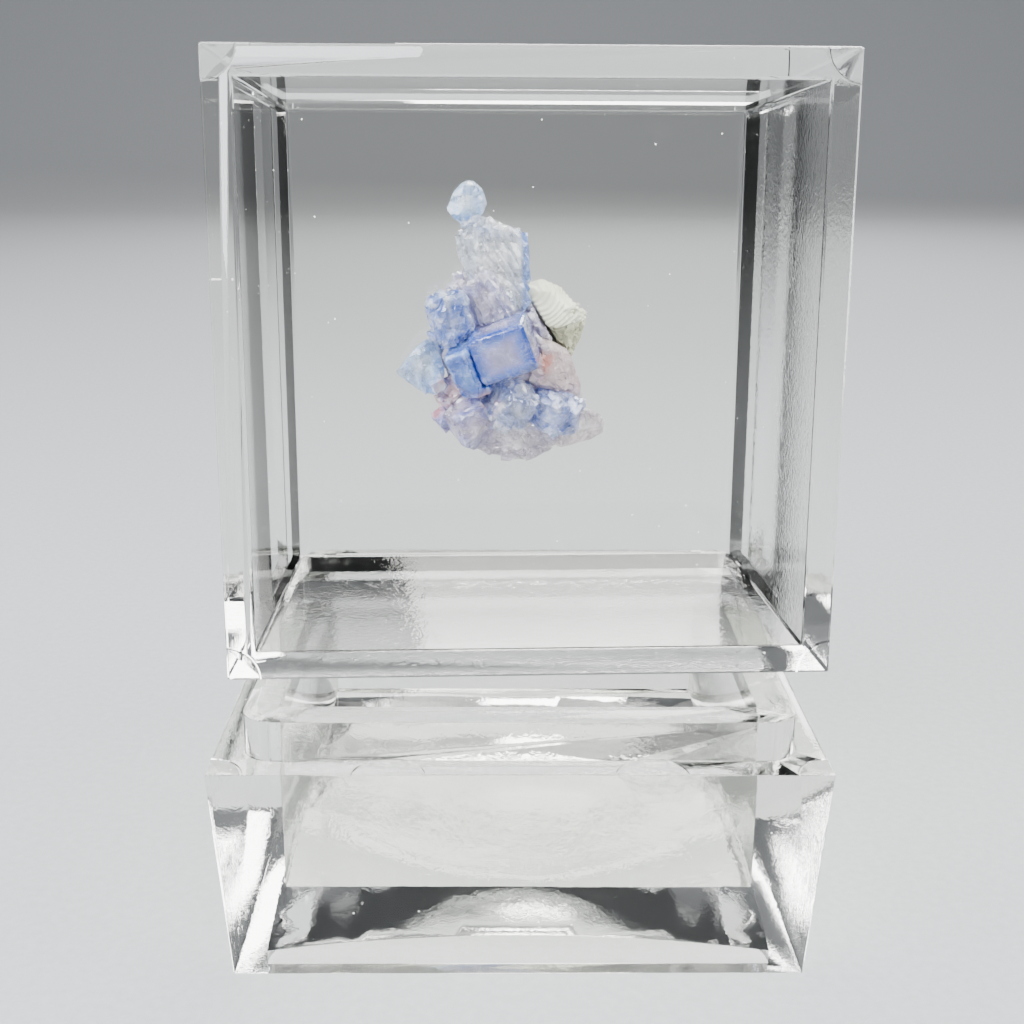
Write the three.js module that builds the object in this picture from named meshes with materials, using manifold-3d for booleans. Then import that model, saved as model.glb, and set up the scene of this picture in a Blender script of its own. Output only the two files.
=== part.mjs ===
// A blue fluorite cluster in a clear two-piece display case.
// The lid lies on its side on the base, with its open mouth to the front,
// and the cluster is held inside it by a lump of mineral tack.
// Millimetres, +Z up, -Y to the front.
import * as THREE from 'three';
import { ConvexGeometry } from 'three/addons/geometries/ConvexGeometry.js';
import { mergeVertices } from 'three/addons/utils/BufferGeometryUtils.js';
import Module from 'manifold-3d';

const wasm = await Module();
wasm.setup();

// Base tray
const BASE_WIDTH = 49.34;
const BASE_DRAFT_DEG = 3.7;
const LEDGE_HEIGHT = 18.68;
const LEDGE_WIDTH = 2.42;
const LIP_HEIGHT = 3.38;
const LIP_CORNER_RADIUS = 2.49;
const CAVITY_WIDTH = 38.5;
const CAVITY_FLOOR = 6.76;
const DISH_RADIUS = 19.12;
const DISH_DEPTH = 1.53;
const RECESS_WIDTH = 41.82;
const RECESS_CORNER_HEIGHT = 1.27;
const RECESS_RISE = 2.93;

// Cover box, lying on its side
const COVER_WIDTH = 51.0;
const COVER_DEPTH = 27.86;
const COVER_WALL = 2.49;
const COVER_DRAFT_DEG = 3.13;
const COVER_SETBACK = 10.84;
const COVER_SIDE_OFFSET = 1.02;
const COVER_TURN_DEG = 2.1;
const PIECE_GAP = 0.3;

// Cluster
const GRAIN_GAP = 0.3;
const EDGE_CHIP = 0.22;
const LUMP_GROWTH = 1.7;

const radians = THREE.MathUtils.degToRad;

// ---- Solids ------------------------------------------------------------

function toSolid(geometry) {
  const bare = geometry.clone();
  for (const name of Object.keys(bare.attributes)) {
    if (name !== 'position') bare.deleteAttribute(name);
  }
  const merged = mergeVertices(bare, 1e-4);
  const mesh = new wasm.Mesh({
    numProp: 3,
    vertProperties: new Float32Array(merged.attributes.position.array),
    triVerts: new Uint32Array(merged.index.array),
  });
  return new wasm.Manifold(mesh);
}

function toGeometry(solid) {
  const mesh = solid.getMesh();
  const geometry = new THREE.BufferGeometry();
  geometry.setAttribute('position', new THREE.BufferAttribute(mesh.vertProperties, 3));
  geometry.setIndex(new THREE.BufferAttribute(mesh.triVerts, 1));
  return geometry;
}

function largestBody(solid) {
  const bodies = solid.decompose();
  bodies.sort((a, b) => b.volume() - a.volume());
  return bodies[0];
}

// A square frustum along Z, its half width going from low to high.
function taperedBlock(halfLow, halfHigh, zLow, zHigh) {
  const points = [];
  for (const [half, z] of [[halfLow, zLow], [halfHigh, zHigh]]) {
    for (const sx of [-1, 1]) {
      for (const sy of [-1, 1]) points.push(new THREE.Vector3(sx * half, sy * half, z));
    }
  }
  return toSolid(new ConvexGeometry(points));
}

function roundedSquare(width, radius) {
  const half = width / 2;
  const shape = new THREE.Shape();
  shape.moveTo(-half + radius, -half);
  shape.lineTo(half - radius, -half);
  shape.absarc(half - radius, -half + radius, radius, -Math.PI / 2, 0);
  shape.lineTo(half, half - radius);
  shape.absarc(half - radius, half - radius, radius, 0, Math.PI / 2);
  shape.lineTo(-half + radius, half);
  shape.absarc(-half + radius, half - radius, radius, Math.PI / 2, Math.PI);
  shape.lineTo(-half, -half + radius);
  shape.absarc(-half + radius, -half + radius, radius, Math.PI, 1.5 * Math.PI);
  return shape;
}

// ---- Base --------------------------------------------------------------

function baseBody() {
  const top = BASE_WIDTH / 2;
  const bottom = top - LEDGE_HEIGHT * Math.tan(radians(BASE_DRAFT_DEG));
  const skirt = taperedBlock(bottom, top, 0, LEDGE_HEIGHT);
  const lipShape = roundedSquare(BASE_WIDTH - 2 * LEDGE_WIDTH, LIP_CORNER_RADIUS);
  const lip = new THREE.ExtrudeGeometry(lipShape, {
    depth: LIP_HEIGHT + 2,
    bevelEnabled: false,
    curveSegments: 8,
  });
  lip.translate(0, 0, LEDGE_HEIGHT - 2);
  return skirt.add(toSolid(lip));
}

function dishBody() {
  const sphereRadius = (DISH_RADIUS ** 2 + DISH_DEPTH ** 2) / (2 * DISH_DEPTH);
  const halfAngle = Math.asin(DISH_RADIUS / sphereRadius);
  const steps = 8;
  const profile = [];
  for (let i = 0; i <= steps; i += 1) {
    const angle = (halfAngle * i) / steps;
    const height = CAVITY_FLOOR - DISH_DEPTH + sphereRadius * (1 - Math.cos(angle));
    profile.push(new THREE.Vector2(sphereRadius * Math.sin(angle), height));
  }
  profile[0].x = 0;
  profile.push(new THREE.Vector2(DISH_RADIUS, CAVITY_FLOOR + 1));
  profile.push(new THREE.Vector2(0, CAVITY_FLOOR + 1));
  const dish = new THREE.LatheGeometry(profile, 72);
  dish.rotateX(Math.PI / 2);
  return toSolid(dish);
}

// The underside is hollowed to a shallow dome inside a square foot ring.
function recessBody() {
  const half = RECESS_WIDTH / 2;
  const reach = half * Math.SQRT2;
  const sphereRadius = (reach ** 2 + RECESS_RISE ** 2) / (2 * RECESS_RISE);
  const steps = 10;
  const profile = [];
  for (let i = 0; i <= steps; i += 1) {
    const across = (reach + 1) * (1 - i / steps);
    const drop = sphereRadius - Math.sqrt(sphereRadius ** 2 - across ** 2);
    profile.push(new THREE.Vector2(across, RECESS_CORNER_HEIGHT + RECESS_RISE - drop));
  }
  profile.unshift(new THREE.Vector2(reach + 1, -3));
  profile.unshift(new THREE.Vector2(0, -3));
  const dome = new THREE.LatheGeometry(profile, 72);
  dome.rotateX(Math.PI / 2);
  return toSolid(dome).intersect(taperedBlock(half, half, -2, 9));
}

function baseTray() {
  const half = CAVITY_WIDTH / 2;
  const cavity = taperedBlock(half, half, CAVITY_FLOOR, LEDGE_HEIGHT + LIP_HEIGHT + 5);
  return baseBody().subtract(cavity).subtract(dishBody()).subtract(recessBody());
}

// ---- Cover, in its own frame: mouth at y = 0, centred on x and z --------

function coverBlock(halfFront, yFront, halfBack, yBack) {
  const points = [];
  for (const [half, y] of [[halfFront, yFront], [halfBack, yBack]]) {
    for (const sx of [-1, 1]) {
      for (const sz of [-1, 1]) points.push(new THREE.Vector3(sx * half, y, sz * half));
    }
  }
  return toSolid(new ConvexGeometry(points));
}

function coverBox() {
  const taper = Math.tan(radians(COVER_DRAFT_DEG));
  const half = COVER_WIDTH / 2;
  const outer = coverBlock(half, 0, half - COVER_DEPTH * taper, COVER_DEPTH);
  const innerHalf = half - COVER_WALL;
  const innerDepth = COVER_DEPTH - COVER_WALL;
  const over = 3;
  const inner = coverBlock(
    innerHalf + over * taper, -over,
    innerHalf - innerDepth * taper, innerDepth,
  );
  return outer.subtract(inner);
}

// ---- Cluster, in the cover's frame, y measured forward of the back wall --

const BACK_WALL = COVER_DEPTH - COVER_WALL;

// A crystal is a block given by its centre, size and turn, with its edges
// chipped back. Grow makes it larger all round.
function crystalPoints(part, grow) {
  const [sx, sy, sz] = part.size.map((v) => v / 2 + grow);
  const chip = EDGE_CHIP;
  const points = [];
  for (const x of [-1, 1]) {
    for (const y of [-1, 1]) {
      for (const z of [-1, 1]) {
        points.push(new THREE.Vector3(x * (sx - chip), y * (sy - chip), z * sz));
        points.push(new THREE.Vector3(x * (sx - chip), y * sy, z * (sz - chip)));
        points.push(new THREE.Vector3(x * sx, y * (sy - chip), z * (sz - chip)));
      }
    }
  }
  const turn = new THREE.Euler(...part.turn.map(radians));
  const place = new THREE.Vector3(part.at[0], BACK_WALL - part.at[1], part.at[2]);
  return points.map((point) => point.applyEuler(turn).add(place));
}

// A rough lump is the hull of its own broken corners.
function lumpPoints(part, grow) {
  const corners = part.corners.map(([x, forward, z]) => new THREE.Vector3(x, BACK_WALL - forward, z));
  const centre = new THREE.Vector3();
  for (const corner of corners) centre.add(corner);
  centre.divideScalar(corners.length);
  return corners.map((corner) => {
    const reach = corner.clone().sub(centre);
    reach.setLength(reach.length() + grow * LUMP_GROWTH);
    return reach.add(centre);
  });
}

function pieceSolid(part, grow) {
  const points = part.corners ? lumpPoints(part, grow) : crystalPoints(part, grow);
  return toSolid(new ConvexGeometry(points));
}

// Grown crystals, from the front of the cluster to its back: what comes first
// keeps its shape, and what follows is cut clear of it.
const CLUSTER = [
  {
    name: 'main_blue_cube',
    colour: 0x5b7fc4,
    at: [-1.53, 7.27, 0.06], size: [5.23, 4.46, 4.4], turn: [8, -20, -8],
  },
  {
    name: 'lower_blue_block',
    colour: 0x5f86cc,
    at: [-4.65, 6.5, -1.85], size: [2.81, 4.21, 4.59], turn: [10, -22, -10],
  },
  {
    name: 'upper_left_blue_block',
    colour: 0x6f93cf,
    at: [-6.63, 5.35, 2.68], size: [3.31, 3.82, 4.08], turn: [12, -14, 14],
  },
  {
    name: 'bottom_front_crystal',
    colour: 0x9fb2dd,
    at: [-0.57, 5.86, -5.23], size: [3.95, 3.44, 3.57], turn: [18, 30, 14],
  },
  {
    name: 'bottom_right_crystal',
    colour: 0x8fa8da,
    at: [3.12, 5.23, -6.12], size: [4.84, 3.57, 3.19], turn: [16, 14, -12],
  },
  {
    name: 'bottom_left_crystal',
    colour: 0xa9a6cf,
    at: [-4.46, 4.97, -7.01], size: [4.21, 3.44, 4.21], turn: [10, 40, 14],
  },
  {
    name: 'left_point_crystal',
    colour: 0xa8c3e6,
    corners: [
      [-11.6, 4.21, -2.55], [-9.5, 5.61, 0.26], [-7.9, 5.23, 1.02], [-7.14, 6.12, -1.91],
      [-7.78, 5.35, -4.46], [-9.05, 4.59, -4.4], [-8.29, 2.17, 0.13], [-7.39, 1.91, -3.57],
      [-10.07, 2.81, -2.29],
    ],
  },
  {
    name: 'spire_tip_crystal',
    colour: 0xb5c8ea,
    corners: [
      [-5.99, 3.82, 14.28], [-5.04, 3.95, 15.17], [-4.08, 3.7, 15.24], [-3.38, 3.57, 14.15],
      [-3.06, 3.44, 12.88], [-3.57, 4.33, 11.6], [-5.23, 4.84, 11.22], [-6.69, 3.82, 12.56],
      [-4.84, 2.29, 14.41], [-3.82, 2.04, 12.75], [-5.99, 2.42, 12.49], [-4.72, 2.17, 11.35],
    ],
  },
  {
    name: 'clear_spire',
    colour: 0xdfe5ee,
    corners: [
      [-5.67, 4.46, 11.6], [-3.31, 4.33, 11.86], [-1.27, 4.59, 10.84], [0.76, 3.82, 10.39],
      [0.96, 3.95, 3.19], [-0.89, 5.35, 2.81], [-4.08, 5.48, 4.84], [-5.04, 4.08, 6.63],
      [-5.93, 3.7, 9.82], [-2.93, 5.48, 8.92],
      [-4.33, 2.04, 10.96], [-0.38, 1.91, 9.82], [0.38, 1.91, 3.82], [-4.21, 1.91, 5.74],
    ],
  },
  {
    name: 'pale_upper_block',
    colour: 0xc9c3d8,
    at: [-3.95, 4.46, 4.33], size: [5.23, 4.21, 4.33], turn: [14, -30, 8],
  },
  {
    name: 'lower_left_matrix',
    colour: 0xd0a9a4,
    corners: [
      [-8.22, 4.21, -3.44], [-7.9, 4.08, -5.35], [-7.27, 3.82, -7.27], [-5.1, 5.48, -4.46],
      [-2.55, 5.35, -5.48], [-3.82, 4.46, -8.29], [-5.74, 5.48, -2.55],
      [-7.01, 1.66, -3.82], [-5.99, 1.66, -7.01], [-2.55, 1.66, -5.1],
    ],
  },
  {
    name: 'bottom_centre_crystal',
    colour: 0xd6cfdc,
    corners: [
      [-4.65, 4.08, -10.2], [-3.44, 4.33, -9.69], [-1.27, 4.21, -10.52], [-0.38, 4.72, -9.82],
      [1.21, 3.44, -11.22], [3.44, 3.82, -10.2], [3.95, 4.33, -7.65], [0.38, 5.23, -7.65],
      [-4.21, 4.59, -8.03], [-2.81, 1.66, -9.31], [2.17, 1.66, -9.69], [0.64, 1.53, -7.01],
      [-3.31, 1.66, -7.14],
    ],
  },
  {
    name: 'pink_matrix',
    colour: 0xcfb9bd,
    corners: [
      [1.4, 5.35, 1.02], [2.93, 5.1, 0.26], [4.59, 3.82, -0.38], [4.97, 3.57, -2.29],
      [5.86, 3.19, -4.08], [5.61, 3.06, -5.61], [3.44, 5.48, -3.82], [1.02, 5.74, -3.19],
      [1.27, 2.17, 0.38], [3.82, 2.04, -1.02], [4.84, 2.04, -4.84], [1.27, 2.04, -5.1],
    ],
  },
  {
    name: 'lower_right_lobe',
    colour: 0xded8dc,
    corners: [
      [4.84, 3.95, -6.12], [6.5, 4.08, -6.25], [7.78, 3.57, -6.76], [8.35, 3.19, -7.65],
      [8.22, 3.06, -8.54], [7.14, 3.31, -9.05], [4.84, 3.82, -9.44], [3.44, 3.57, -10.07],
      [3.57, 4.59, -7.27], [6.25, 1.78, -7.01], [7.27, 1.91, -8.16], [3.82, 1.66, -8.67],
    ],
  },
  {
    name: 'core_matrix',
    colour: 0xcfc6d2,
    corners: [
      [-7.65, 3.57, 4.08], [-8.16, 3.06, 0.64], [-6.76, 4.84, -0.64], [-6.12, 2.81, -4.46],
      [-3.19, 4.84, -5.1], [0.38, 5.23, -3.19], [1.91, 4.72, -5.48], [4.21, 2.29, -6.12],
      [4.08, 2.68, -1.27], [1.66, 4.72, 2.17], [0.0, 2.68, 5.48], [-4.72, 2.81, 6.12],
      [-3.82, 1.02, 3.19], [1.91, 0.89, 1.27], [1.27, 0.89, -4.46], [-4.08, 1.02, -3.19],
    ],
  },
];

// The tack is a pressed half dome against the wall, with a torn right edge.
const TACK = {
  name: 'mineral_tack',
  colour: 0xd3d6c4,
  corners: [
    [0.26, 0.26, 5.23], [2.29, 0.26, 6.06], [4.21, 0.26, 5.23], [5.61, 0.26, 3.57],
    [6.88, 0.26, 2.04], [6.25, 0.26, 0.13], [5.35, 0.26, -1.78], [2.55, 0.26, -2.93],
    [-0.38, 0.26, -1.91], [-1.53, 0.26, 1.66],
    [1.4, 3.06, 5.1], [2.93, 2.93, 4.97], [4.59, 2.42, 3.44], [5.74, 1.78, 1.78],
    [4.97, 2.81, -0.38], [2.55, 3.57, -1.78], [0.0, 3.57, 0.64],
  ],
};

function clusterSolids() {
  const solids = [];
  let taken = null;
  for (const part of [...CLUSTER, TACK]) {
    let solid = pieceSolid(part, 0);
    if (taken) solid = largestBody(solid.subtract(taken));
    const grown = pieceSolid(part, GRAIN_GAP);
    taken = taken ? taken.add(grown) : grown;
    solids.push([part, solid]);
  }
  return solids;
}

// ---- Assembly ----------------------------------------------------------

const CLEAR = { roughness: 0.05, metalness: 0 };
const GRAIN = { roughness: 0.25, metalness: 0 };
const PUTTY = { roughness: 0.8, metalness: 0 };

// The cover lies on its drafted side, so that side is level on the lip and
// its mouth leans back by the draft.
function coverPlacement() {
  const tilt = new THREE.Matrix4().makeRotationX(-radians(COVER_DRAFT_DEG));
  const lift = new THREE.Matrix4().makeTranslation(0, 0, COVER_WIDTH / 2);
  const turn = new THREE.Matrix4().makeRotationZ(radians(COVER_TURN_DEG));
  const place = new THREE.Matrix4().makeTranslation(
    COVER_SIDE_OFFSET,
    COVER_SETBACK - BASE_WIDTH / 2,
    LEDGE_HEIGHT + LIP_HEIGHT + PIECE_GAP,
  );
  return place.multiply(turn).multiply(tilt).multiply(lift);
}

function addPiece(group, name, solid, colour, finish, placement) {
  const geometry = toGeometry(solid);
  if (placement) geometry.applyMatrix4(placement);
  const mesh = new THREE.Mesh(geometry, new THREE.MeshStandardMaterial({ color: colour, ...finish }));
  mesh.name = name;
  group.add(mesh);
}

function buildShowcase() {
  const group = new THREE.Group();
  const placement = coverPlacement();
  addPiece(group, 'base_tray', baseTray(), 0xf1f3ee, CLEAR, null);
  addPiece(group, 'cover_box', coverBox(), 0xf1f3ee, CLEAR, placement);
  for (const [part, solid] of clusterSolids()) {
    const finish = part === TACK ? PUTTY : GRAIN;
    addPiece(group, part.name, solid, part.colour, finish, placement);
  }
  return group;
}

// The origin is under the middle of the whole object.
function centreOverOrigin(group) {
  const box = new THREE.Box3().setFromObject(group, true);
  const middle = box.getCenter(new THREE.Vector3());
  for (const mesh of group.children) {
    mesh.geometry.translate(-middle.x, -middle.y, -box.min.z);
  }
  return group;
}

export default centreOverOrigin(buildShowcase());
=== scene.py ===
import math
import random

import bpy
from mathutils import Euler, Matrix, Vector, noise


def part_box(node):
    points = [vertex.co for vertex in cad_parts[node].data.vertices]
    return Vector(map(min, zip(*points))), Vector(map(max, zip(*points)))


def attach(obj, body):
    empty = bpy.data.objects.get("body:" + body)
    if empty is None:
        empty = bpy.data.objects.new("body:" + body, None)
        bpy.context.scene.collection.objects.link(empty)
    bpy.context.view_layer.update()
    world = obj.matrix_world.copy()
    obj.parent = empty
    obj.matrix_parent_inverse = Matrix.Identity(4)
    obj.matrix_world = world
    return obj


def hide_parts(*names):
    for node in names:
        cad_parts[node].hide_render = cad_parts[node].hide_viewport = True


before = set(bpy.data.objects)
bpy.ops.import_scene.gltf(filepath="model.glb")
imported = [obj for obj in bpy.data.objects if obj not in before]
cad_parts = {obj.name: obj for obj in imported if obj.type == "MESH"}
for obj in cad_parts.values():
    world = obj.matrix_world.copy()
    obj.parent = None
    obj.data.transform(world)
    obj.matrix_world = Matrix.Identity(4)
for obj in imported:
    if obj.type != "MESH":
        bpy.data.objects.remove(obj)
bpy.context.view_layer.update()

bl_info = {
    "name": "Fluorite in a clear showcase",
    "version": (1, 0, 0),
    "blender": (4, 5, 0),
    "location": "View3D > Sidebar > Showcase",
    "description": "Builds a blue fluorite cluster in a clear two-piece display case",
    "category": "Object",
}

MM = 0.001

# Sizes of the case that its boxes don't give.
BASE_HALF = 24.67 * MM
LEDGE_HEIGHT = 18.68 * MM
COVER_SIDE_OFFSET = 1.02 * MM
COVER_SETBACK = 10.84 * MM
ROUND_FROM = math.radians(35)
BLACK, WHITE = (0, 0, 0, 1), (1, 1, 1, 1)

# ---- Sizes and colours ---------------------------------------------------


class ShowcaseCaseSettings(bpy.types.PropertyGroup):
    edge_round: bpy.props.FloatProperty(
        name="Edge round", description="Radius moulded on the case's outer edges",
        default=0.223 * MM, unit="LENGTH")
    pin_mark_radius: bpy.props.FloatProperty(
        name="Pin mark radius", description="Radius of the ejector pin marks",
        default=2.81 * MM, unit="LENGTH")
    pin_mark_groove: bpy.props.FloatProperty(
        name="Pin mark groove", description="Half width of the line round a pin mark",
        default=0.108 * MM, unit="LENGTH")
    cover_width: bpy.props.FloatProperty(
        name="Cover width", description="Outer width of the cover at its mouth",
        default=51.0 * MM, unit="LENGTH")
    cover_draft: bpy.props.FloatProperty(
        name="Cover draft", description="Taper of the cover's walls, and its lean",
        default=math.radians(3.13), unit="ROTATION")
    cover_turn: bpy.props.FloatProperty(
        name="Cover turn", description="How far the cover is turned on the base",
        default=math.radians(2.1), unit="ROTATION")
    plastic: bpy.props.StringProperty(
        name="Plastic", description="Tint of the clear case", default="#FAFAF6")


class ShowcaseClusterSettings(bpy.types.PropertyGroup):
    grain: bpy.props.FloatProperty(
        name="Surface grain", description="Step of the crystals' fine surface",
        default=0.096 * MM, unit="LENGTH")
    seam: bpy.props.FloatProperty(
        name="Seam growth", description="How far crystals grow into the seams between them",
        default=0.14 * MM, unit="LENGTH")
    ridge_spacing: bpy.props.FloatProperty(
        name="Ridge spacing", description="Distance between the ridges in the tack",
        default=0.48 * MM, unit="LENGTH")
    tack: bpy.props.StringProperty(
        name="Tack", description="Colour of the mineral tack", default="#CFD2C0")


# ---- Small tools -----------------------------------------------------------


def linear(colour):
    """An sRGB hex colour as linear red, green, blue and alpha."""
    parts = [int(colour[i:i + 2], 16) / 255 for i in (1, 3, 5)]
    straight = [c / 12.92 if c <= 0.04045 else ((c + 0.055) / 1.055) ** 2.4 for c in parts]
    return (*straight, 1.0)


def deselect():
    if bpy.context.mode != "OBJECT":
        bpy.ops.object.mode_set(mode="OBJECT")
    bpy.ops.object.select_all(action="DESELECT")


def make_active(piece):
    deselect()
    piece.select_set(True)
    bpy.context.view_layer.objects.active = piece


def apply_modifier(piece, kind, **settings):
    make_active(piece)
    modifier = piece.modifiers.new(kind.lower(), kind)
    for key, value in settings.items():
        setattr(modifier, key, value)
    bpy.ops.object.modifier_apply(modifier=modifier.name)


def copy_of(node, name):
    """A merged copy of a CAD node's mesh, its flat faces made whole."""
    piece = bpy.data.objects.new(name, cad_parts[node].data.copy())
    bpy.context.scene.collection.objects.link(piece)
    piece.data.name = name
    piece.data.materials.clear()
    make_active(piece)
    bpy.ops.object.mode_set(mode="EDIT")
    bpy.ops.mesh.select_all(action="SELECT")
    bpy.ops.mesh.remove_doubles(threshold=1e-6)
    bpy.ops.mesh.dissolve_limited(angle_limit=math.radians(0.4))
    bpy.ops.object.mode_set(mode="OBJECT")
    return piece


def stand_for(piece, node, body):
    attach(piece, body)
    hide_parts(node)


def new_material(name):
    material = bpy.data.materials.new(name)
    material.use_nodes = True
    return material, material.node_tree


def add_node(tree, kind, inputs=None, stops=(), **settings):
    """Adds a node, sets its properties and colour stops, and gives each input its link
    or value."""
    node = tree.nodes.new(kind)
    for key, value in settings.items():
        if hasattr(node, key):
            setattr(node, key, value)
        else:
            node.inputs[key.replace("_", " ")].default_value = value
    for key, source in (inputs or {}).items():
        if isinstance(source, bpy.types.NodeSocket):
            tree.links.new(source, node.inputs[key])
        else:
            node.inputs[key].default_value = source
    if stops:
        elements = node.color_ramp.elements
        while len(elements) < len(stops):
            elements.new(0.5)
        for element, (position, colour) in zip(elements, stops):
            element.position = position
            element.color = colour if isinstance(colour, tuple) else linear(colour)
    return node


# ---- Materials ---------------------------------------------------------------


def moulded_clear_plastic(name, tint, ripple, swirled):
    """Crystal-clear moulded plastic: a high gloss with faint flow swirls on some of
    the walls, hair scratches and a few specks of dust. Lamps shine through it."""
    material, tree = new_material(name)
    shader = tree.nodes["Principled BSDF"]
    shader.inputs["Base Color"].default_value = linear(tint)
    shader.inputs["IOR"].default_value = 1.49
    place = add_node(tree, "ShaderNodeTexCoord").outputs["Object"]
    apart = add_node(tree, "ShaderNodeSeparateXYZ", {"Vector": place})
    # Flow swirls about 1.5 mm apart.
    swirl = add_node(tree, "ShaderNodeTexNoise", {"Vector": place}, Scale=1 / (1.518 * MM),
                     Detail=2.0, Distortion=3.5)
    height = swirl.outputs[0]
    if swirled:
        side, floor = swirled
        right = add_node(tree, "ShaderNodeMapRange", {"Value": apart.outputs[0]},
                         From_Min=side - 1.91 * MM, From_Max=side)
        bottom = add_node(tree, "ShaderNodeMapRange", {"Value": apart.outputs[2]},
                          From_Min=floor + 2.55 * MM, From_Max=floor)
        most = add_node(tree, "ShaderNodeMath", {0: right.outputs[0], 1: bottom.outputs[0]},
                        operation="MAXIMUM")
        some = add_node(tree, "ShaderNodeMath", {0: most.outputs[0], 1: 0.12},
                        operation="MAXIMUM")
        height = add_node(tree, "ShaderNodeMath", {0: height, 1: some.outputs[0]},
                          operation="MULTIPLY").outputs[0]
    # Hair scratches: cells 0.4 mm wide and 11 mm long, with a thin line in each.
    stretched = add_node(tree, "ShaderNodeMapping", {"Vector": place}, vector_type="POINT",
                         Rotation=(0.4, 0.9, 0.6), Scale=(94.0, 2510.0, 94.0))
    hair = add_node(tree, "ShaderNodeTexNoise", {"Vector": stretched.outputs[0]}, Scale=1.0,
                    Detail=2.0)
    hair_line = add_node(tree, "ShaderNodeValToRGB", {"Fac": hair.outputs[0]},
                         [(0.71, BLACK), (0.74, WHITE)])
    # Specks of dust, at most one in each 2.8 mm.
    specks = add_node(tree, "ShaderNodeTexVoronoi", {"Vector": place}, Scale=1 / (2.772 * MM))
    dust = add_node(tree, "ShaderNodeValToRGB", {"Fac": specks.outputs["Distance"]},
                    [(0.024, WHITE), (0.036, BLACK)])
    clear = add_node(tree, "ShaderNodeMath", {0: 1.0, 1: dust.outputs[0]}, operation="SUBTRACT")
    tree.links.new(clear.outputs[0], shader.inputs["Transmission Weight"])
    rough = add_node(tree, "ShaderNodeMapRange", {"Value": hair_line.outputs[0]},
                     To_Min=0.01, To_Max=0.14)
    tree.links.new(rough.outputs[0], shader.inputs["Roughness"])
    bump = add_node(tree, "ShaderNodeBump", {"Height": height}, Strength=ripple,
                    Distance=0.2 * MM)
    tree.links.new(bump.outputs[0], shader.inputs["Normal"])
    # Lamps reach the specimen through the walls.
    ray = add_node(tree, "ShaderNodeLightPath")
    open_way = add_node(tree, "ShaderNodeBsdfTransparent", Color=linear("#F1F2EE"))
    mixed = add_node(tree, "ShaderNodeMixShader", {0: ray.outputs["Is Shadow Ray"],
                                                   1: shader.outputs[0], 2: open_way.outputs[0]})
    tree.links.new(mixed.outputs[0], tree.nodes["Material Output"].inputs["Surface"])
    return material


def steps_of_cells(tree, place, spacing):
    """Height of small flat facets, each tilted its own way, a given distance apart."""
    cell = add_node(tree, "ShaderNodeTexVoronoi", {"Vector": place}, Scale=1.0 / spacing)
    apart = add_node(tree, "ShaderNodeVectorMath", {0: place, 1: cell.outputs["Position"]},
                     operation="SUBTRACT")
    tilt = add_node(tree, "ShaderNodeVectorMath", {0: cell.outputs["Color"], 1: (0.5, 0.5, 0.5)},
                    operation="SUBTRACT")
    return add_node(tree, "ShaderNodeVectorMath", {0: apart.outputs[0], 1: tilt.outputs[0]},
                    operation="DOT_PRODUCT").outputs["Value"]


def edge_nearness(tree, local):
    """The middle one of the three distances from the centre: high along edges."""
    apart = add_node(tree, "ShaderNodeSeparateXYZ", {"Vector": local})
    far = [add_node(tree, "ShaderNodeMath", {0: apart.outputs[i]}, operation="ABSOLUTE").outputs[0]
           for i in range(3)]
    low = add_node(tree, "ShaderNodeMath", {0: far[0], 1: far[1]}, operation="MINIMUM")
    high = add_node(tree, "ShaderNodeMath", {0: far[0], 1: far[1]}, operation="MAXIMUM")
    capped = add_node(tree, "ShaderNodeMath", {0: high.outputs[0], 1: far[2]}, operation="MINIMUM")
    return add_node(tree, "ShaderNodeMath", {0: low.outputs[0], 1: capped.outputs[0]},
                    operation="MAXIMUM").outputs[0]


def stain_mask(tree, place, ragged):
    """How near a point is to the iron stains in the seams between crystals."""
    nearest = None
    for centre, radius in STAINS:
        gap = add_node(tree, "ShaderNodeVectorMath", {0: place, 1: centre}, operation="DISTANCE")
        share = add_node(tree, "ShaderNodeMapRange", {"Value": gap.outputs["Value"]},
                         From_Max=radius, To_Min=1.0, To_Max=0.0)
        if nearest is None:
            nearest = share.outputs[0]
        else:
            nearest = add_node(tree, "ShaderNodeMath", {0: nearest, 1: share.outputs[0]},
                               operation="MAXIMUM").outputs[0]
    mixed = add_node(tree, "ShaderNodeMath", {0: nearest, 1: ragged}, operation="MULTIPLY")
    return add_node(tree, "ShaderNodeValToRGB", {"Fac": mixed.outputs[0]},
                    [(0.10, BLACK), (0.34, (0.75,) * 3 + (1,))]).outputs[0]


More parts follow.
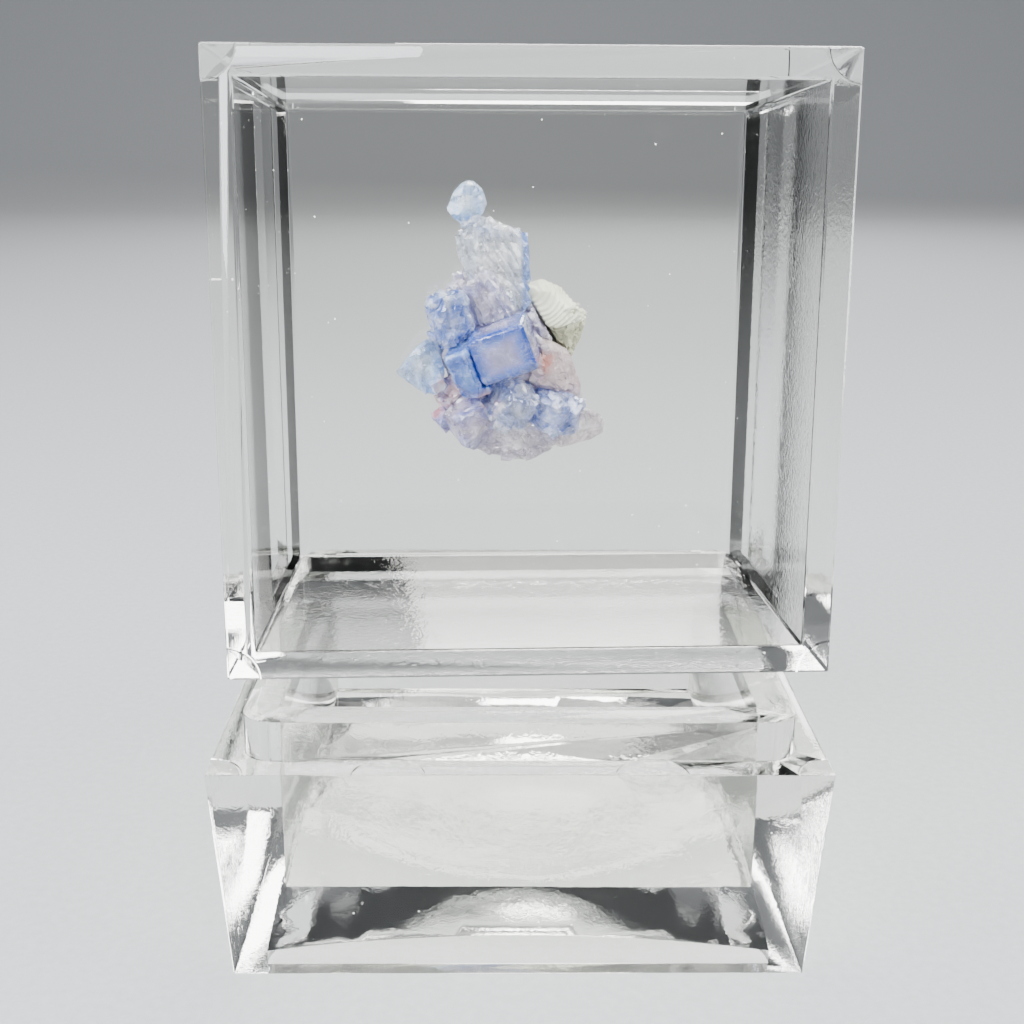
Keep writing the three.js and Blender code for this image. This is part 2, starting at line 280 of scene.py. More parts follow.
def grown_fluorite(name, style, centre, turn, half, edge_highlight_and_lower_tone, blue_side):
    """Fluorite: a soft glassy mineral of low refraction, its colour laid down in zones
    parallel to the cube faces, clouded by cleavage cracks inside."""
    stops, veil_share, clear_share = style
    material, tree = new_material(name)
    shader = tree.nodes["Principled BSDF"]
    shader.inputs["IOR"].default_value = 1.434
    shader.inputs["Subsurface Weight"].default_value = 0.2
    shader.inputs["Coat Weight"].default_value = 1.0
    shader.inputs["Coat IOR"].default_value = 1.6
    shader.inputs["Coat Roughness"].default_value = 0.03
    shader.inputs["Subsurface Radius"].default_value = (1.0, 1.0, 1.0)
    shader.inputs["Subsurface Scale"].default_value = 0.8 * MM
    place = add_node(tree, "ShaderNodeTexCoord").outputs["Object"]
    local = add_node(tree, "ShaderNodeMapping", {"Vector": place}, vector_type="TEXTURE",
                     Location=centre, Rotation=turn, Scale=half)
    near = edge_nearness(tree, local.outputs[0])
    # Clouds about 1.3 mm across shift the colour zones.
    cloud = add_node(tree, "ShaderNodeTexNoise", {"Vector": place}, Scale=1 / (1.328 * MM),
                     Detail=6.0, Roughness=0.65, Distortion=0.6)
    shift = add_node(tree, "ShaderNodeMapRange", {"Value": cloud.outputs[0]},
                     From_Min=0.25, From_Max=0.75, To_Min=-0.22, To_Max=0.22)
    zone = add_node(tree, "ShaderNodeMath", {0: near, 1: shift.outputs[0]}, operation="ADD")
    colour = add_node(tree, "ShaderNodeValToRGB", {"Fac": zone.outputs[0]}, stops).outputs[0]
    # White veils: healed cracks in sheets about 1 mm apart, thin and broken up.
    sheet = add_node(tree, "ShaderNodeTexNoise", {"Vector": local.outputs[0]}, Scale=1.9,
                     Detail=7.0, Roughness=0.7, Distortion=1.4)
    line = add_node(tree, "ShaderNodeValToRGB", {"Fac": sheet.outputs[0]},
                    [(0.455, BLACK), (0.49, WHITE), (0.51, WHITE), (0.545, BLACK)])
    patch = add_node(tree, "ShaderNodeValToRGB", {"Fac": cloud.outputs[0]},
                     [(0.40, BLACK), (0.68, (veil_share,) * 3 + (1,))])
    veil = add_node(tree, "ShaderNodeMath", {0: line.outputs[0], 1: patch.outputs[0]},
                    operation="MULTIPLY")
    milk = add_node(tree, "ShaderNodeValToRGB", {"Fac": cloud.outputs[0]},
                    [(0.52, BLACK), (0.72, (veil_share * 0.45,) * 3 + (1,))])
    white = add_node(tree, "ShaderNodeMath", {0: veil.outputs[0], 1: milk.outputs[0]},
                     operation="MAXIMUM")
    layers = [(white.outputs[0], "#F7F8FC")]
    # Painted highlights whiten the sharp convex edges, and painted shade darkens the hollows between
    # crystals.
    shape = add_node(tree, "ShaderNodeNewGeometry").outputs["Pointiness"]
    if edge_highlight_and_lower_tone:
        # Painted highlight: the sharp convex edges (high pointiness) turn near white.
        edge = add_node(tree, "ShaderNodeValToRGB", {"Fac": shape},
                        [(0.54, BLACK), (0.64, (0.7,) * 3 + (1,))])
        layers.append((edge.outputs[0], "#FBFCFF"))
    # Painted shade: concave hollows and creases (low pointiness) turn a darker blue.
    painted_crevice_shade = add_node(tree, "ShaderNodeValToRGB", {"Fac": shape},
                      [(0.38, (0.75,) * 3 + (1,)), (0.48, BLACK)])
    layers.append((painted_crevice_shade.outputs[0], "#66719F"))
    if blue_side is not None:
        apart = add_node(tree, "ShaderNodeSeparateXYZ", {"Vector": place})
        side = add_node(tree, "ShaderNodeMapRange", {"Value": apart.outputs[0]},
                        From_Min=blue_side, From_Max=blue_side + 0.32 * MM)
        layers.append((side.outputs[0], "#8FADEE"))
    ragged = add_node(tree, "ShaderNodeTexNoise", {"Vector": place}, Scale=1 / (0.7083 * MM),
                      Detail=4.0)
    stain = stain_mask(tree, place, ragged.outputs[0])
    layers.append((stain, "#AE6048"))
    for share, over in layers:
        colour = add_node(tree, "ShaderNodeMix", {"Factor": share, 6: colour, 7: linear(over)},
                          data_type="RGBA").outputs[2]
    tree.links.new(colour, shader.inputs["Base Color"])
    clear = add_node(tree, "ShaderNodeValToRGB", {"Fac": cloud.outputs[0]},
                     [(0.38, (clear_share,) * 3 + (1,)), (0.66, (clear_share * 0.55,) * 3 + (1,))])
    unstained = add_node(tree, "ShaderNodeMath", {0: 1.0, 1: stain}, operation="SUBTRACT")
    through = add_node(tree, "ShaderNodeMath", {0: clear.outputs[0], 1: unstained.outputs[0]},
                       operation="MULTIPLY")
    tree.links.new(through.outputs[0], shader.inputs["Transmission Weight"])
    rough = add_node(tree, "ShaderNodeMapRange", {"Value": cloud.outputs[0]},
                     To_Min=0.02, To_Max=0.16)
    tree.links.new(rough.outputs[0], shader.inputs["Roughness"])
    # Facets and pits too small for the mesh, about 0.3 mm across.
    facets = add_node(tree, "ShaderNodeBump", {"Height": steps_of_cells(tree, place, 0.3 * MM)},
                      Strength=0.16, Distance=1.0)
    fine = add_node(tree, "ShaderNodeTexNoise", {"Vector": place}, Scale=1 / (0.2898 * MM),
                    Detail=3.0)
    bump = add_node(tree, "ShaderNodeBump", {"Height": fine.outputs[0],
                                             "Normal": facets.outputs[0]},
                    Strength=0.1, Distance=0.06 * MM)
    tree.links.new(bump.outputs[0], shader.inputs["Normal"])
    return material


def pressed_putty(name, colour, lip):
    """Mineral tack: an oil-based putty, matt, faintly waxy, lighter above its lip."""
    material, tree = new_material(name)
    shader = tree.nodes["Principled BSDF"]
    shader.inputs["IOR"].default_value = 1.48
    shader.inputs["Subsurface Weight"].default_value = 0.2
    shader.inputs["Subsurface Radius"].default_value = (1.0, 1.0, 0.9)
    shader.inputs["Subsurface Scale"].default_value = 0.4 * MM
    place = add_node(tree, "ShaderNodeTexCoord").outputs["Object"]
    # Mottling about 2 mm across, darker below the lip.
    mottle = add_node(tree, "ShaderNodeTexNoise", {"Vector": place}, Scale=1 / (2.125 * MM),
                      Detail=4.0)
    tone = add_node(tree, "ShaderNodeValToRGB", {"Fac": mottle.outputs[0]},
                    [(0.3, "#BDBEA9"), (0.55, colour), (0.75, "#E2E3D3")])
    apart = add_node(tree, "ShaderNodeSeparateXYZ", {"Vector": place})
    below_lip = add_node(tree, "ShaderNodeMapRange", {"Value": apart.outputs[2]},
                    From_Min=lip + 0.45 * MM, From_Max=lip - 0.45 * MM)
    edge_highlight_and_lower_tone = add_node(tree, "ShaderNodeValToRGB", {"Fac": mottle.outputs[0]},
                    [(0.35, "#83846F"), (0.55, "#A2A38D"), (0.75, "#C9CAB6")])
    tone = add_node(tree, "ShaderNodeMix", {"Factor": below_lip.outputs[0], 6: tone.outputs[0],
                                            7: edge_highlight_and_lower_tone.outputs[0]}, data_type="RGBA")
    tree.links.new(tone.outputs[2], shader.inputs["Base Color"])
    rough = add_node(tree, "ShaderNodeMapRange", {"Value": mottle.outputs[0]},
                     To_Min=0.55, To_Max=0.85)
    tree.links.new(rough.outputs[0], shader.inputs["Roughness"])
    # Grit about 0.25 mm across.
    grit = add_node(tree, "ShaderNodeTexNoise", {"Vector": place}, Scale=1 / (0.2452 * MM),
                    Detail=3.0)
    bump = add_node(tree, "ShaderNodeBump", {"Height": grit.outputs[0]}, Strength=0.35,
                    Distance=0.06 * MM)
    tree.links.new(bump.outputs[0], shader.inputs["Normal"])
    return material


def pale_studio_paper():
    """Seamless background paper: matt, off-white, with a very slight tooth."""
    material, tree = new_material("seamless_paper")
    shader = tree.nodes["Principled BSDF"]
    place = add_node(tree, "ShaderNodeTexCoord").outputs["Object"]
    tooth = add_node(tree, "ShaderNodeTexNoise", {"Vector": place}, Scale=1 / (0.9107 * MM),
                     Detail=4.0)
    tone = add_node(tree, "ShaderNodeValToRGB", {"Fac": tooth.outputs[0]},
                    [(0.3, "#ABADAF"), (0.7, "#B3B5B7")])
    tree.links.new(tone.outputs[0], shader.inputs["Base Color"])
    shader.inputs["Roughness"].default_value = 0.9
    return material


# ---- Case ------------------------------------------------------------------------


def ring_groove(piece, place, turn, radius, half_width):
    """Cuts the fine circular line of an ejector pin into a face."""
    deselect()
    bpy.ops.mesh.primitive_torus_add(
        major_radius=radius, minor_radius=half_width,
        major_segments=64, minor_segments=6)
    ring = bpy.context.active_object
    ring.data.transform(Matrix.Translation(place) @ turn.to_4x4())
    apply_modifier(piece, "BOOLEAN", object=ring, operation="DIFFERENCE", solver="EXACT")
    bpy.data.objects.remove(ring)


def base_middle():
    low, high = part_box("base_tray")
    return (low[0] + high[0]) / 2, (low[1] + high[1]) / 2


def cover_placement(case):
    """From the cover's own frame, mouth at y = 0, to the object's frame."""
    x, y = base_middle()
    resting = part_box("cover_box")[0][2]
    place = Matrix.Translation((x + COVER_SIDE_OFFSET, y + COVER_SETBACK - BASE_HALF, resting))
    turn = Matrix.Rotation(case.cover_turn, 4, "Z")
    lean = Matrix.Rotation(-case.cover_draft, 4, "X")
    return place @ turn @ lean @ Matrix.Translation((0, 0, case.cover_width / 2))


def finish_case_piece(piece, case, ripple, swirled=None):
    make_active(piece)
    bpy.ops.object.shade_smooth_by_angle(angle=math.radians(25))
    piece.data.materials.append(moulded_clear_plastic(
        piece.name + "_plastic", case.plastic, ripple, swirled))


class SHOWCASE_OT_base(bpy.types.Operator):
    """Build the clear base tray with its rounded edges and pin marks"""
    bl_idname = "showcase.base"
    bl_label = "Base tray"

    def execute(self, context):
        case = context.scene.showcase_case
        piece = copy_of("base_tray", "clear_base")
        apply_modifier(piece, "BEVEL", width=case.edge_round, segments=2, limit_method="ANGLE",
                       angle_limit=ROUND_FROM, use_clamp_overlap=True)
        x, y = base_middle()
        spots = []
        for along in (1, 0.42):
            for dx in (-along * BASE_HALF, along * BASE_HALF):
                for dy in (-BASE_HALF, BASE_HALF):
                    spots.append(Vector((x + dx, y + dy, LEDGE_HEIGHT)))
        for spot in spots:
            ring_groove(piece, spot, Matrix.Identity(3),
                        case.pin_mark_radius, case.pin_mark_groove)
        finish_case_piece(piece, case, 0.05)
        stand_for(piece, "base_tray", "base")
        return {"FINISHED"}


class SHOWCASE_OT_cover(bpy.types.Operator):
    """Build the clear cover with its rounded edges and pin marks"""
    bl_idname = "showcase.cover"
    bl_label = "Cover"

    def execute(self, context):
        case = context.scene.showcase_case
        piece = copy_of("cover_box", "clear_cover")
        apply_modifier(piece, "BEVEL", width=case.edge_round, segments=2, limit_method="ANGLE",
                       angle_limit=ROUND_FROM, use_clamp_overlap=True)
        placement = cover_placement(case)
        upright = placement.to_3x3() @ Matrix.Rotation(math.radians(90), 3, "X")
        half = case.cover_width / 2
        for sx in (-1, 1):
            for sz in (-1, 1):
                place = placement @ Vector((sx * half, 0, sz * half))
                ring_groove(piece, place, upright, case.pin_mark_radius, case.pin_mark_groove)
        _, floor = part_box("base_tray")
        _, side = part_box("cover_box")
        finish_case_piece(piece, case, 0.06, (side[0] - 3.19 * MM, floor[2] + 2.55 * MM))
        stand_for(piece, "cover_box", "cover")
        return {"FINISHED"}


# ---- Cluster ---------------------------------------------------------------------


# Fixes the lean of the small steps, which would otherwise change from run to run.
noise.seed_set(7)


def cell_step(point, size, seed):
    """A flat, slightly tilted step for each random cell of the given size."""
    shifted = point / size + Vector((seed, seed * 1.7, seed * 0.3))
    _, points = noise.voronoi(shifted)
    nearest = points[0]
    level = noise.noise(nearest * 7.31)
    lean = noise.noise_vector(nearest * 3.17)
    return level + (shifted - nearest).dot(lean) * 2.0


def chip_corners(piece, rolls, count, depth):
    """Splits off corners and edges along flat planes, as fluorite cleaves."""
    make_active(piece)
    for _ in range(count):
        way = Vector([rolls.choice((-1, 1)) * rolls.uniform(0.35, 1.0) for _ in range(3)])
        way.normalize()
        reach = max(vertex.co.dot(way) for vertex in piece.data.vertices)
        place = way * (reach - depth * rolls.uniform(0.45, 1.0))
        bpy.ops.object.mode_set(mode="EDIT")
        bpy.ops.mesh.select_all(action="SELECT")
        bpy.ops.mesh.bisect(plane_co=place, plane_no=way, use_fill=True, clear_outer=True)
        bpy.ops.object.mode_set(mode="OBJECT")


def add_shard(piece, place, size, turn, taper=1.0):
    """Sets a small block, narrowed towards one end, into a piece."""
    deselect()
    bpy.ops.mesh.primitive_cube_add(size=1.0)
    shard = bpy.context.active_object
    for vertex in shard.data.vertices:
        if vertex.co.x > 0:
            vertex.co.y *= taper
            vertex.co.z *= taper
    scale = Matrix.Diagonal((*size, 1.0))
    shard.data.transform(Matrix.Translation(place) @ turn.to_4x4() @ scale)
    deselect()
    shard.select_set(True)
    piece.select_set(True)
    bpy.context.view_layer.objects.active = piece
    bpy.ops.object.join()


def sprout_crystals(piece, rolls, count, size, turn):
    """Sets smaller crystals into the faces, nearly in line with their host."""
    faces = [face for face in piece.data.polygons if face.normal.y < 0.15]
    spots = [(face.center.copy(), face.normal.copy(), math.sqrt(face.area)) for face in faces]
    for _ in range(count):
        centre, normal, reach = rolls.choice(spots)
        aside = Vector([rolls.uniform(-1, 1) for _ in range(3)]) * reach * 0.4
        aside -= normal * aside.dot(normal)
        block = Vector([size * rolls.uniform(0.5, 1.0) for _ in range(3)])
        place = centre + aside - normal * size * rolls.uniform(0.12, 0.3)
        skew = Euler([rolls.gauss(0, 0.3) for _ in range(3)]).to_matrix()
        add_shard(piece, place, block, turn.to_matrix() @ skew)


def fine_skin(piece, step):
    """Gives a piece an even skin of small faces, keeping its corners."""
    make_active(piece)
    apply_modifier(piece, "REMESH", mode="VOXEL", voxel_size=step, adaptivity=0.0)


def break_surface(piece, grow, relief, cell, streak, seed):
    """Closes the seam to the neighbours, then steps and splinters the faces."""
    along = Vector((0.45, 0.2, -0.87)).normalized()
    moved = []
    for vertex in piece.data.vertices:
        point = vertex.co
        lift = cell_step(point, cell, seed) * relief
        lift += cell_step(point, cell * 0.42, seed + 5) * relief * 0.45
        if streak:
            # Long splinters that run down the crystal.
            squeezed = point - along * point.dot(along) * 0.85
            lift += (abs(noise.noise(squeezed / (0.57 * MM))) - 0.25) * streak
        lift = grow + max(-2.2 * relief, min(relief, lift))
        moved.append(point + vertex.normal * lift)
    for vertex, place in zip(piece.data.vertices, moved):
        vertex.co = place


# Turn and size of a grown block or none, style, chips, chip depth, relief,
# cell size, streaks, number of facets, sprouts and their size. Lengths in mm.
CRYSTALS = {
    "main_blue_cube": ((8, -20, -8), (5.23, 4.46, 4.4), "zoned_blue",
                       3, 0.45, 0.038, 2.17, 0, 9000, 0, 0),
    "lower_blue_block": ((10, -22, -10), (2.81, 4.21, 4.59), "deep_blue",
                         5, 0.51, 0.076, 1.53, 0, 2500, 1, 1.66),
    "upper_left_blue_block": ((12, -14, 14), (3.31, 3.82, 4.08), "patchy_blue",
                              8, 0.83, 0.178, 1.21, 0, 650, 6, 1.78),
    "bottom_front_crystal": ((18, 30, 14), (3.95, 3.44, 3.57), "pale_blue",
                             9, 0.83, 0.178, 1.21, 0, 650, 6, 1.66),
    "bottom_right_crystal": ((16, 14, -12), (4.84, 3.57, 3.19), "slate_blue",
                             9, 0.83, 0.178, 1.21, 0, 650, 6, 1.78),
    "bottom_left_crystal": ((10, 40, 14), (4.21, 3.44, 4.21), "lilac",
                            9, 0.89, 0.178, 1.27, 0, 600, 6, 1.66),
    "left_point_crystal": (None, None, "ice_blue",
                           7, 0.57, 0.128, 1.15, 0, 400, 4, 1.27),
    "spire_tip_crystal": (None, None, "ice_blue",
                          6, 0.38, 0.089, 1.15, 0, 260, 2, 1.02),
    "clear_spire": (None, None, "clear_ice",
                    6, 0.57, 0.166, 1.53, 0.64, 650, 4, 1.53),
    "pale_upper_block": ((14, -30, 8), (5.23, 4.21, 4.33), "pale_lilac",
                         9, 0.89, 0.178, 1.4, 0.45, 900, 7, 1.78),
    "lower_left_matrix": (None, None, "salmon",
                          6, 0.51, 0.191, 0.83, 0, 900, 8, 1.15),
    "bottom_centre_crystal": (None, None, "clear_lilac",
                              7, 0.57, 0.191, 1.02, 0, 900, 9, 1.27),
    "pink_matrix": (None, None, "pink",
                    4, 0.38, 0.128, 1.4, 0, 1200, 2, 1.02),
    "lower_right_lobe": (None, None, "milky",
                         4, 0.32, 0.128, 1.27, 0, 900, 2, 1.02),
    "core_matrix": (None, None, "core",
                    4, 0.38, 0.191, 0.96, 0, 2500, 14, 1.4),
}

# Colour stops from the middle of a face to the edges, white veils, clearness.
STYLES = {
    "zoned_blue": ([(0.30, "#A7A1C8"), (0.56, "#888BCE"),
                   (0.74, "#4C6EC8"), (0.92, "#1C48AE")], 0.3, 0.55),
    "deep_blue": ([(0.15, "#6796E3"), (0.50, "#3A6FD1"),
                  (0.75, "#2357C1"), (0.95, "#638FDF")], 0.45, 0.6),
    "patchy_blue": ([(0.15, "#B4C3EE"), (0.50, "#7C9DE5"),
                    (0.72, "#3769D5"), (0.95, "#9EB5EC")], 0.7, 0.8),
    "slate_blue": ([(0.15, "#AEBAE6"), (0.45, "#8A9DDF"),
                   (0.70, "#5174D1"), (0.95, "#A7B6E8")], 0.8, 0.8),
    "pale_blue": ([(0.15, "#D3DBF5"), (0.45, "#B8C7F1"),
                  (0.70, "#92A7E8"), (0.95, "#D6DDF6")], 0.8, 0.85),
    "ice_blue": ([(0.15, "#D6E4F9"), (0.45, "#B3CEF5"),
                 (0.70, "#72A5ED"), (0.95, "#D2E2FA")], 0.8, 0.85),
    "clear_ice": ([(0.20, "#F6F8FC"), (0.55, "#EAEFF9"),
                  (0.80, "#BBCBF0"), (0.95, "#96B2EE")], 0.9, 0.95),
    "lilac": ([(0.15, "#DBD0E4"), (0.45, "#C7BADE"),
              (0.70, "#A39FDA"), (0.95, "#6D73CA")], 0.7, 0.75),
    "pale_lilac": ([(0.15, "#E4DDE9"), (0.45, "#D4CBE2"),
                   (0.70, "#BAB7E2"), (0.95, "#E3DFF0")], 0.8, 0.8),
    "clear_lilac": ([(0.15, "#EBE4EC"), (0.45, "#DACFE2"),
                    (0.70, "#C5BDDC"), (0.95, "#ECE8EF")], 0.8, 0.85),
    "salmon": ([(0.15, "#E2C1C2"), (0.45, "#D6B0B7"),
               (0.70, "#BDA7D0"), (0.95, "#E6D7DF")], 0.6, 0.6),
    "pink": ([(0.15, "#DECBCD"), (0.45, "#D3BCC1"),
             (0.70, "#CCBAC7"), (0.95, "#E4D8DC")], 0.4, 0.65),
    "milky": ([(0.15, "#F0EAEC"), (0.45, "#E6DCE0"),
              (0.70, "#DED2DC"), (0.95, "#F3F0F2")], 0.5, 0.75),
    "core": ([(0.15, "#DCCCDB"), (0.45, "#C0B4D5"),
             (0.70, "#A3A2D6"), (0.95, "#E0D9E7")], 0.7, 0.7),
}


def find_stains():
    """The rusty spots sit in the seams beside the two deep blue blocks."""
    block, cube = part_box("lower_blue_block"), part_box("main_blue_cube")
    left = Vector((block[0][0] - 0.128 * MM, block[0][1] + 1.91 * MM, block[0][2] + 1.02 * MM))
    under = Vector((block[1][0] - 0.76 * MM, block[0][1] + 0.76 * MM, block[0][2] - 0.128 * MM))
    right = Vector((cube[1][0] + 0.51 * MM, cube[1][1] - 0.76 * MM, cube[0][2] + 1.4 * MM))
    corner = Vector((block[0][0] - 1.02 * MM, block[1][1] - 0.96 * MM, block[0][2] - 1.66 * MM))
    return [(left, 2.17 * MM), (under, 2.04 * MM), (right, 1.66 * MM), (corner, 1.27 * MM)]


STAINS = find_stains()


def local_frame(node, case):
    """Centre, turn and half sizes of a crystal, in the object's frame."""
    low, high = (Vector(corner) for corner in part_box(node))
    angles, size, *_ = CRYSTALS[node]
    if angles is None:
        return (low + high) / 2, Euler((0, 0, 0)), (high - low) / 2
    rx, ry, rz = (Matrix.Rotation(math.radians(a), 3, axis) for a, axis in zip(angles, "XYZ"))
    turn = (cover_placement(case).to_3x3() @ rx @ ry @ rz).to_euler("XYZ")
    return (low + high) / 2, turn, Vector(size) * MM / 2


class SHOWCASE_OT_cluster(bpy.types.Operator):
    """Build the fluorite crystals and the matrix they grow from"""
    bl_idname = "showcase.cluster"
    bl_label = "Fluorite cluster"

    def execute(self, context):
        settings = context.scene.showcase_cluster
        case = context.scene.showcase_case
        rolls = random.Random(7)
        for seed, (node, row) in enumerate(CRYSTALS.items()):
            _, _, style, chips, depth, relief, cell, streak, flats, sprouts, sprout_size = row
            piece = copy_of(node, "fluorite_" + node)
            centre, turn, half = local_frame(node, case)
            chip_corners(piece, rolls, chips, depth * MM)
            sprout_crystals(piece, rolls, sprouts, sprout_size * MM, turn)
            fine_skin(piece, settings.grain)
            break_surface(piece, settings.seam, relief * MM, cell * MM, streak * MM, seed)
            share = flats * 2 / sum(len(face.vertices) - 2 for face in piece.data.polygons)
            apply_modifier(piece, "DECIMATE", decimate_type="COLLAPSE", ratio=min(1.0, share))
            make_active(piece)
            bpy.ops.object.shade_smooth_by_angle(angle=math.radians(12))
            blue_side = centre.x + half.x - 0.89 * MM if node == "clear_spire" else None
            piece.data.materials.append(grown_fluorite(
                "fluorite_" + node, STYLES[style], centre, turn, half, sprouts > 1, blue_side))
            stand_for(piece, node, "cover")
        return {"FINISHED"}


def tear_edge(piece):
    """Ragged flaps where the putty was pulled off at its right-hand edge."""
    low, high = (Vector(corner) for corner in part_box("mineral_tack"))
    span = high - low
    # Place as shares of the lump's box, size in mm, and slope of each flap.
    flaps = [((0.84, 0.36, 0.60), (1.66, 0.57, 1.27), -12), ((0.80, 0.40, 0.42), (1.66, 0.51, 1.08), 24),
             ((0.80, 0.30, 0.72), (1.4, 0.32, 0.38), -28), ((0.70, 0.36, 0.24), (1.53, 0.64, 0.96), 52),
             ((0.90, 0.42, 0.66), (0.96, 0.38, 0.64), 8)]
    for share, size, slope in flaps:
        place = low + Vector([a * b for a, b in zip(share, span)])
        turn = Matrix.Rotation(math.radians(slope), 3, "Y")
        add_shard(piece, place, Vector(size) * MM, turn, 0.25)
    fine_skin(piece, 0.076 * MM)
    apply_modifier(piece, "SMOOTH", factor=0.5, iterations=3)


class SHOWCASE_OT_tack(bpy.types.Operator):
    """Build the lump of mineral tack with its pressed ridges and torn edge"""
    bl_idname = "showcase.tack"
    bl_label = "Mineral tack"

    def execute(self, context):
        settings = context.scene.showcase_cluster
        piece = copy_of("mineral_tack", "mineral_putty")
        fine_skin(piece, 0.089 * MM)
        apply_modifier(piece, "SMOOTH", factor=0.5, iterations=12)
        tear_edge(piece)
        low, high = (Vector(corner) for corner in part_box("mineral_tack"))
        centre = Vector((low.x - 1.6 * MM, low.y - 1.3 * MM, high.z + 5.5 * MM))
        lip = low.z + 0.52 * (high.z - low.z)
        span = high - low
        moved = []
        for vertex in piece.data.vertices:
            point = vertex.co
            wobble = noise.noise(point / (2.23 * MM)) * 0.51 * MM
            reach = (point - centre).length + wobble
            edge = lip + noise.noise(point / (1.4 * MM)) * 0.57 * MM
            above = min(1.0, max(0.0, (point.z - edge) / (0.223 * MM)))
            lift = above * math.sin(reach / settings.ridge_spacing * 2 * math.pi) * 0.057 * MM
            lift += (1 - above) * (cell_step(point, 0.96 * MM, 3) * 0.223 * MM - 0.287 * MM)
            side = max(0.0, (point.x - low.x) / span.x - 0.6) / 0.4
            lift += side * noise.turbulence(point / (0.7 * MM), 3, True) * 0.35 * MM
            if vertex.normal.y > 0.6:
                lift = 0.0
            moved.append(point + vertex.normal * lift)
        for vertex, place in zip(piece.data.vertices, moved):
            vertex.co = place
        make_active(piece)
        bpy.ops.object.shade_smooth_by_angle(angle=math.radians(40))
        piece.data.materials.append(pressed_putty("mineral_putty", settings.tack, lip))
        stand_for(piece, "mineral_tack", "cover")
        return {"FINISHED"}


# ---- Stage --------------------------------------------------------------------------

# Metres, as a studio is set out.
FLOOR_WIDTH = 2.6
BACK_EDGE = 1.25
BACKDROP_HEIGHT = 1.9
BACKDROP_CURVE = 0.58
LIT_POINT = (0, 0, 0.038)

# Place, width, watts and colour of each soft box.
LAMPS = {
    "window_left": ((-0.351, -0.223, 0.287), 0.287, 6.1, "#F4F8FF"),
    "window_right": ((0.382, -0.096, 0.287), 0.223, 2.84, "#FFFFFF"),
    "overhead": ((0.032, 0.0, 0.51), 0.319, 2.84, "#FFFFFF"),
    "front_fill": ((0.128, -0.51, 0.319), 0.255, 1.22, "#FFFFFF"),
    "window_back": ((0.076, 0.606, 0.382), 0.255, 2.84, "#FFFFFF"),
}


def soft_light(name, place, size, power, colour):
    deselect()
    bpy.ops.object.light_add(type="AREA", location=place)
    lamp = bpy.context.active_object
    lamp.name = name
    lamp.data.size = size
    lamp.data.energy = power
    lamp.data.color = linear(colour)[:3]
    lamp.rotation_euler = (Vector(LIT_POINT) - Vector(place)).to_track_quat("-Z", "Y").to_euler()


def studio_floor():
    """Pale paper that runs back and curves up behind the object."""
    deselect()
    bpy.ops.mesh.primitive_plane_add(size=FLOOR_WIDTH, location=(0, 0, -0.013 * MM))
    floor = bpy.context.active_object
    floor.name = "studio_floor"
    bpy.ops.object.transform_apply(location=True, rotation=True, scale=True)
    bpy.ops.object.mode_set(mode="EDIT")
    bpy.ops.mesh.select_all(action="DESELECT")
    bpy.ops.object.mode_set(mode="OBJECT")
    for edge in floor.data.edges:
        edge.select = all(floor.data.vertices[i].co.y > BACK_EDGE for i in edge.vertices)
    bpy.ops.object.mode_set(mode="EDIT")
    bpy.ops.mesh.extrude_region_move(TRANSFORM_OT_translate={"value": (0, 0, BACKDROP_HEIGHT)})
    bpy.ops.object.mode_set(mode="OBJECT")
    for edge in floor.data.edges:
        ends = [floor.data.vertices[i].co for i in edge.vertices]
        edge.select = all(end.y > BACK_EDGE and end.z < 0.1 for end in ends)
    bpy.ops.object.mode_set(mode="EDIT")
    bpy.ops.mesh.bevel(offset=BACKDROP_CURVE, segments=16)
    bpy.ops.object.mode_set(mode="OBJECT")
    bpy.ops.object.shade_smooth()
    floor.data.materials.append(pale_studio_paper())


def studio_world():
    """A soft grey room, brighter overhead."""
    world = bpy.data.worlds.new("soft_room")
    bpy.context.scene.world = world
    world.use_nodes = True
    tree = world.node_tree
    sky = tree.nodes["Background"]
    place = add_node(tree, "ShaderNodeTexCoord").outputs["Generated"]
    apart = add_node(tree, "ShaderNodeSeparateXYZ", {"Vector": place})
    height = add_node(tree, "ShaderNodeMapRange", {"Value": apart.outputs[2]}, From_Min=-0.1)
    tone = add_node(tree, "ShaderNodeValToRGB", {"Fac": height.outputs[0]},
                    [(0.0, "#6E7175"), (0.35, "#B9BCC0"), (0.8, "#F4F5F6")])
    tree.links.new(tone.outputs[0], sky.inputs["Color"])
    sky.inputs["Strength"].default_value = 0.5


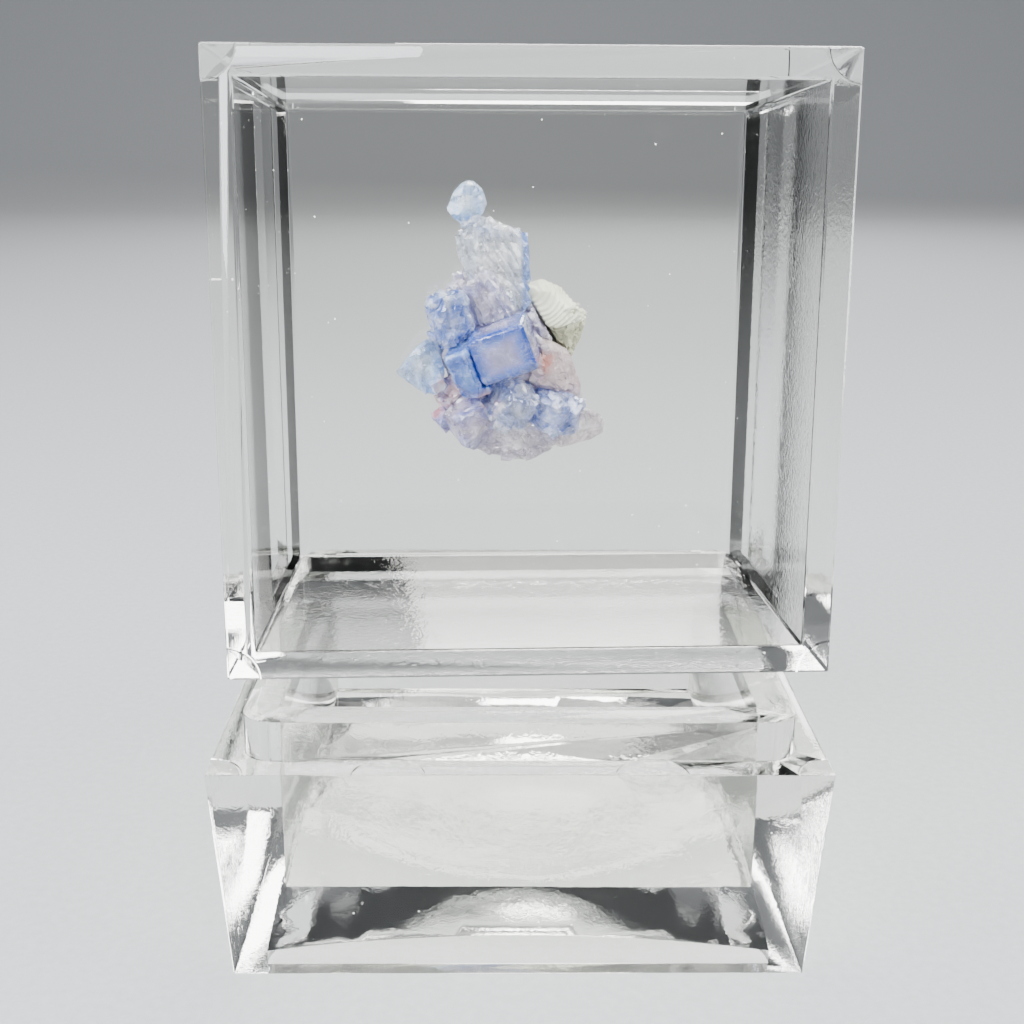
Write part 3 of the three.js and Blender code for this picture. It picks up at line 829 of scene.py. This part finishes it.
def camera_at_view():
    """Looks down from in front of the base, a little to its left."""
    x, y = base_middle()
    place = Vector((x - 2.0 * MM, y - BASE_HALF - 100.02 * MM, 69.93 * MM))
    down, yaw, roll = (math.radians(a) for a in (16.6, -0.69, 0.33))
    ahead = Vector((-math.sin(yaw) * math.cos(down), math.cos(yaw) * math.cos(down), -math.sin(down)))
    right = Vector((math.cos(yaw), math.sin(yaw), 0))
    up = right.cross(ahead)
    across = right * math.cos(roll) + up * math.sin(roll)
    above = up * math.cos(roll) - right * math.sin(roll)
    deselect()
    bpy.ops.object.camera_add()
    camera = bpy.context.active_object
    camera.name = "view"
    camera.data.sensor_width = 36.0
    camera.data.lens = 49.83
    camera.data.clip_start = 0.005
    frame_matrix = Matrix((across, above, -ahead)).transposed().to_4x4()
    frame_matrix.translation = place
    camera.matrix_world = frame_matrix
    bpy.context.scene.camera = camera


class SHOWCASE_OT_stage(bpy.types.Operator):
    """Set the pale floor, the soft light and the camera"""
    bl_idname = "showcase.stage"
    bl_label = "Stage"

    def execute(self, context):
        studio_floor()
        studio_world()
        for name, row in LAMPS.items():
            soft_light(name, *row)
        # Light crosses many faces of clear plastic on its way.
        context.scene.cycles.transmission_bounces = 24
        context.scene.cycles.max_bounces = 28
        camera_at_view()
        return {"FINISHED"}


class SHOWCASE_PT_panel(bpy.types.Panel):
    """Lists the pieces of the showcase"""
    bl_label = "Showcase"
    bl_space_type = "VIEW_3D"
    bl_region_type = "UI"
    bl_category = "Showcase"

    def draw(self, context):
        for name in ("base", "cover", "cluster", "tack", "stage"):
            self.layout.operator("showcase." + name)
        for settings in (context.scene.showcase_case, context.scene.showcase_cluster):
            for key in settings.bl_rna.properties.keys():
                if key not in {"rna_type", "name"}:
                    self.layout.prop(settings, key)


CLASSES = (
    ShowcaseCaseSettings,
    ShowcaseClusterSettings,
    SHOWCASE_OT_base,
    SHOWCASE_OT_cover,
    SHOWCASE_OT_cluster,
    SHOWCASE_OT_tack,
    SHOWCASE_OT_stage,
    SHOWCASE_PT_panel,
)


def register():
    for item in CLASSES:
        bpy.utils.register_class(item)
    bpy.types.Scene.showcase_case = bpy.props.PointerProperty(type=ShowcaseCaseSettings)
    bpy.types.Scene.showcase_cluster = bpy.props.PointerProperty(type=ShowcaseClusterSettings)


def unregister():
    del bpy.types.Scene.showcase_cluster
    del bpy.types.Scene.showcase_case
    for item in reversed(CLASSES):
        bpy.utils.unregister_class(item)


def main():
    register()
    bpy.ops.showcase.base()
    bpy.ops.showcase.cover()
    bpy.ops.showcase.cluster()
    bpy.ops.showcase.tack()
    bpy.ops.showcase.stage()


if __name__ == "__main__":
    main()
